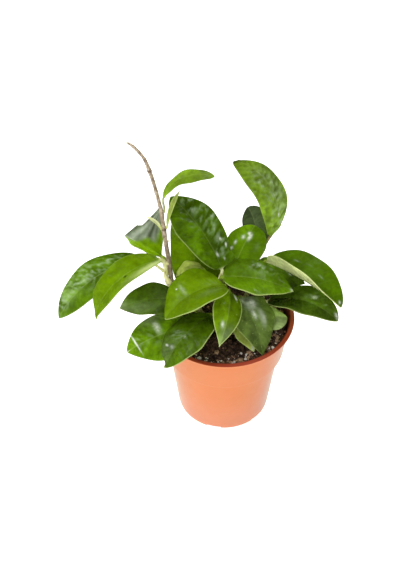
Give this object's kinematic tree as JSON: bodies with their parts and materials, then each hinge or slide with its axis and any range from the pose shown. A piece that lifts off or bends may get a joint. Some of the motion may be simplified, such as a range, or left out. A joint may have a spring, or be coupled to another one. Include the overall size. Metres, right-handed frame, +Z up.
{
  "type": "potted hoya plant",
  "caption": "Broad-leaved hoya with thick waxy oval leaves on short stems and a bare leaning vine, in a tapered thin-walled nursery pot full of potting mix.",
  "frame": {"origin": "middle of the pot's flat underside, where the pot rests", "axes": "+Z up along the pot's axis, +X to the right as the picture is seen, +Y away from the picture's viewer"},
  "size_m": [0.2422, 0.1569, 0.2517],
  "materials": {
    "pot": "satin salmon orange",
    "soil": "matte, moist bark and peat",
    "bark": "matte brown-grey vine",
    "green_stem": "satin green-brown",
    "leaf": "waxy gloss, veined",
    "young_leaf": "satin pale lime"
  },
  "bodies": {
    "root": {"pot": "pot", "soil": "soil", "stem_vine": "bark", "stem_centre": "green_stem", "stem_right": "green_stem", "stem_front": "green_stem", "stem_left": "green_stem", "leaf_a": "leaf", "leaf_b": "leaf", "leaf_c": "leaf", "leaf_d": "leaf", "leaf_e": "leaf", "leaf_f": "leaf", "leaf_g": "leaf", "leaf_h": "leaf", "leaf_i": "leaf", "leaf_j": "leaf", "leaf_k": "leaf", "leaf_l": "leaf", "leaf_m": "leaf", "leaf_n": "leaf", "leaf_o": "leaf", "leaf_p": "leaf", "leaf_q": "leaf", "leaf_r": "leaf", "leaf_s": "leaf", "leaf_t": "leaf", "leaf_u": "leaf", "leaf_v": "leaf", "leaflet_left": "young_leaf", "leaflet_right": "young_leaf"}
  },
  "joints": []
}
